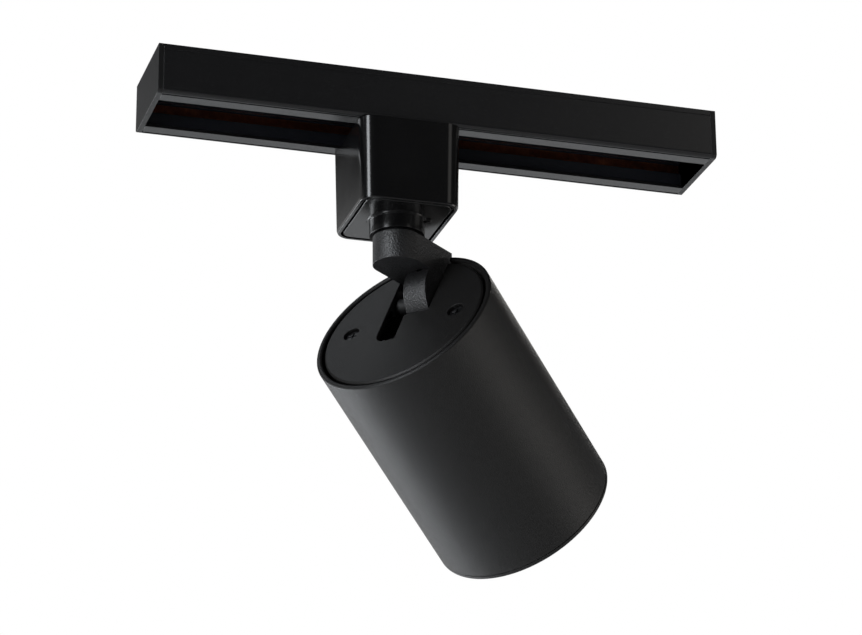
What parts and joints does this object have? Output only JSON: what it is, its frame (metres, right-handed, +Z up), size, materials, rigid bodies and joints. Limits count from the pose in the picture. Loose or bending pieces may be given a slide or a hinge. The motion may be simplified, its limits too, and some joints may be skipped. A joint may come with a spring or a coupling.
{
  "type": "track spotlight",
  "caption": "Cylinder spotlight head tilting on a swivel arm under a box adapter that slides in a short length of single-circuit track.",
  "frame": {"origin": "middle of the track's ceiling face", "axes": "+X along the track, +Z up towards the ceiling"},
  "size_m": [0.1956, 0.1034, 0.1555],
  "materials": {
    "track_enamel": "satin black enamel on extruded aluminium",
    "track_insulation": "blue-black extruded plastic",
    "conductor_copper": "drawn copper",
    "adapter_plastic": "satin black moulded plastic",
    "fine_texture_coat": "fine sand-textured matte black powder coat",
    "coarse_texture_coat": "speckled black powder coat",
    "black_zinc": "black-plated steel",
    "bright_zinc": "zinc-plated steel",
    "contact_brass": "stamped brass",
    "white_plastic": "white moulded plastic",
    "wire_insulation": "silicone-covered wire",
    "wire_sleeve": "black silicone sleeve over the wires",
    "friction_plastic": "black nylon",
    "circuit_board": "green laminate",
    "component_dark": "moulded component bodies",
    "transformer_tape": "yellow tape over copper winding",
    "sink_aluminium": "plain cast aluminium",
    "led_substrate": "white-coated aluminium board",
    "phosphor": "yellow phosphor gel",
    "reflector_metal": "vacuum-metallised bowl",
    "lens_glass": "clear toughened glass",
    "gasket_rubber": "black silicone rubber"
  },
  "bodies": {
    "track": {"track_channel": "track_enamel", "insulator_front": "track_insulation", "insulator_rear": "track_insulation", "conductor_front": "conductor_copper", "conductor_rear": "conductor_copper", "end_cap_left": "adapter_plastic", "end_cap_right": "adapter_plastic", "end_cap_screws": "bright_zinc"},
    "adapter": {"adapter_housing": "adapter_plastic", "adapter_cover": "adapter_plastic", "contact_live": "contact_brass", "contact_neutral": "contact_brass", "earth_spring": "contact_brass", "terminal_block": "white_plastic", "terminal_screws": "bright_zinc", "adapter_wires": "wire_insulation", "friction_disc": "friction_plastic", "lock_spring": "bright_zinc"},
    "lock_tab": {"lock_tab": "friction_plastic"},
    "neck": {"neck_arm": "coarse_texture_coat", "swivel_tube": "bright_zinc", "stop_washer": "bright_zinc", "wave_washer": "bright_zinc", "swivel_nut": "bright_zinc", "neck_wires": "wire_sleeve"},
    "head": {"head_tube": "fine_texture_coat", "rear_cap": "fine_texture_coat", "cap_screws": "black_zinc", "hinge_bracket": "black_zinc", "pivot_screw": "black_zinc", "pivot_nut": "black_zinc", "pivot_washers": "friction_plastic", "pivot_spacer": "friction_plastic", "tie_rods": "bright_zinc", "rod_sleeves": "white_plastic", "driver_board": "circuit_board", "driver_capacitor": "component_dark", "driver_transformer": "transformer_tape", "driver_chips": "component_dark", "head_wires": "wire_insulation", "heat_sink": "sink_aluminium", "led_board": "led_substrate", "led_chip": "phosphor", "led_holder": "white_plastic", "holder_screws": "bright_zinc", "reflector": "reflector_metal", "lens_gasket": "gasket_rubber", "lens": "lens_glass", "front_ring": "fine_texture_coat"}
  },
  "joints": [
    {"name": "track_slide", "type": "slide", "parent": "track", "child": "adapter", "axis": [1, 0, 0], "range_m": [-0.059, 0.081]},
    {"name": "lock_tab_slide", "type": "slide", "parent": "adapter", "child": "lock_tab", "axis": [0, 0, -1], "range_m": [0, 0.0025], "stiffness_N_per_m": 400, "springref_m": -0.004, "deforming": ["lock_spring"]},
    {"name": "neck_swivel", "type": "hinge", "parent": "adapter", "child": "neck", "pos_m": [-0.0115, 0, -0.0528], "axis": [0, 0, 1], "range_deg": [-210, 129]},
    {"name": "head_tilt", "type": "hinge", "parent": "neck", "child": "head", "pos_m": [0.00063, 0.01043, -0.0708], "axis": [0.6521, -0.7581, 0], "range_deg": [-58.75, 31.25]}
  ]
}
